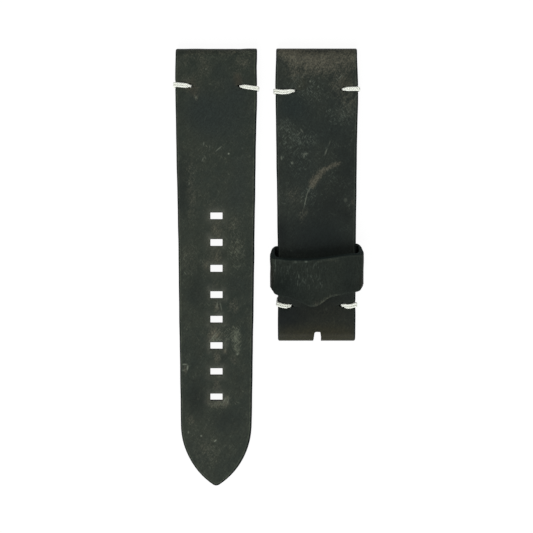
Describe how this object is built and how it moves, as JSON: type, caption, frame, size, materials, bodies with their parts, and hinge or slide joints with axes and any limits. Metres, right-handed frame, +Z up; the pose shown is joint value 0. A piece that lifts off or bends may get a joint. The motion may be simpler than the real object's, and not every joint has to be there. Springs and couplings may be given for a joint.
{
  "type": "leather watch strap",
  "caption": "Two-piece leather watch strap laid flat: a pointed half with adjustment holes, and a buckle half with a tongue slot and a sliding keeper loop.",
  "frame": {"origin": "middle of the whole on the surface that the strap lies on", "axes": "+X across both halves towards the buckle half, +Y along the strap towards the lug ends, +Z up through the leather"},
  "size_m": [0.0508, 0.1164, 0.0088],
  "materials": {
    "outer_leather": "black-green waxed leather, matt to satin, rubbed brown at the folds",
    "lining_leather": "matt dark brown lining leather",
    "thread": "waxed off-white twisted thread"
  },
  "bodies": {
    "hole_half": {"hole_half_leather": "outer_leather", "hole_half_lining": "lining_leather", "hole_half_stitch_left": "thread", "hole_half_stitch_right": "thread"},
    "buckle_half": {"buckle_half_leather": "outer_leather", "buckle_half_lining": "lining_leather", "buckle_half_lug_stitch_left": "thread", "buckle_half_lug_stitch_right": "thread", "buckle_half_end_stitch_left": "thread", "buckle_half_end_stitch_right": "thread"},
    "keeper": {"keeper_band": "outer_leather", "keeper_stitch_upper": "thread", "keeper_stitch_lower": "thread"}
  },
  "joints": [
    {"name": "buckle_half_lift", "type": "slide", "parent": "hole_half", "child": "buckle_half", "axis": [0, 0, 1], "range_m": [0, 0.03]},
    {"name": "keeper_slide", "type": "slide", "parent": "buckle_half", "child": "keeper", "axis": [0, 1, 0], "range_m": [-0.0034, 0.0384]}
  ]
}
